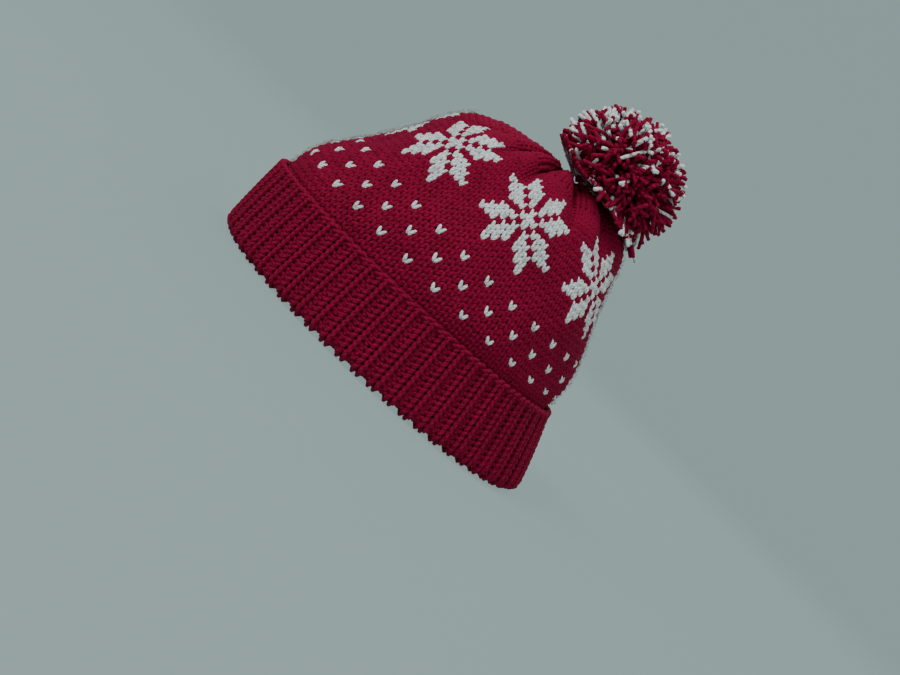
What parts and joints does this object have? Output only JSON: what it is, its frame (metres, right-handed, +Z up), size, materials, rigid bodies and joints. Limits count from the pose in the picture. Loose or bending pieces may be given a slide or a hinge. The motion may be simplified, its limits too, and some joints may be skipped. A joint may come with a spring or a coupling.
{
  "type": "knitted pom-pom hat",
  "caption": "Hand-knitted wool bobble hat: ribbed turned-up brim, stranded snowflake pattern, gathered crown and a two-colour yarn pompom that tilts and swings on its tie.",
  "frame": {"origin": "centre of the head opening, on the plane that the brim's fold stands on", "axes": "+Z up along the hat's axis to the gathered top, -Y towards the forehead, +Y towards the back of the head, +X to the wearer's left"},
  "size_m": [0.1876, 0.2239, 0.2065],
  "materials": {
    "red_knit": "matte",
    "red_ribbing": "matte",
    "white_yarn": "matte",
    "tie_yarn": "matte",
    "pompom_red": "matte"
  },
  "bodies": {
    "hat": {"crown": "red_knit", "gathered_top": "red_knit", "gather_thread": "tie_yarn", "rib_lining": "red_ribbing", "turned_up_rib": "red_ribbing", "brim_fold": "red_ribbing", "cast_on_edge": "red_ribbing", "seed_stitches_low": "white_yarn", "seed_stitches_middle": "white_yarn", "seed_stitches_high": "white_yarn", "snowflake_1": "white_yarn", "snowflake_2": "white_yarn", "snowflake_3": "white_yarn", "snowflake_4": "white_yarn", "snowflake_5": "white_yarn", "snowflake_6": "white_yarn", "snowflake_7": "white_yarn", "seed_floats": "white_yarn", "snowflake_floats": "white_yarn"},
    "pompom_tie": {"yarn_tails": "tie_yarn", "inside_knot": "tie_yarn"},
    "pompom": {"pompom_waist_tie": "tie_yarn", "pompom_stalk": "tie_yarn", "pompom_white_yarn": "white_yarn", "pompom_red_yarn": "pompom_red"}
  },
  "joints": [
    {"name": "pompom_swing", "type": "hinge", "parent": "hat", "child": "pompom_tie", "pos_m": [0, 0.012, 0.1495], "axis": [0, 0, 1], "range_deg": [-60, 60]},
    {"name": "pompom_lift", "type": "hinge", "parent": "pompom_tie", "child": "pompom", "pos_m": [0, 0.012, 0.1495], "axis": [1, 0, 0], "range_deg": [0, 25]}
  ]
}
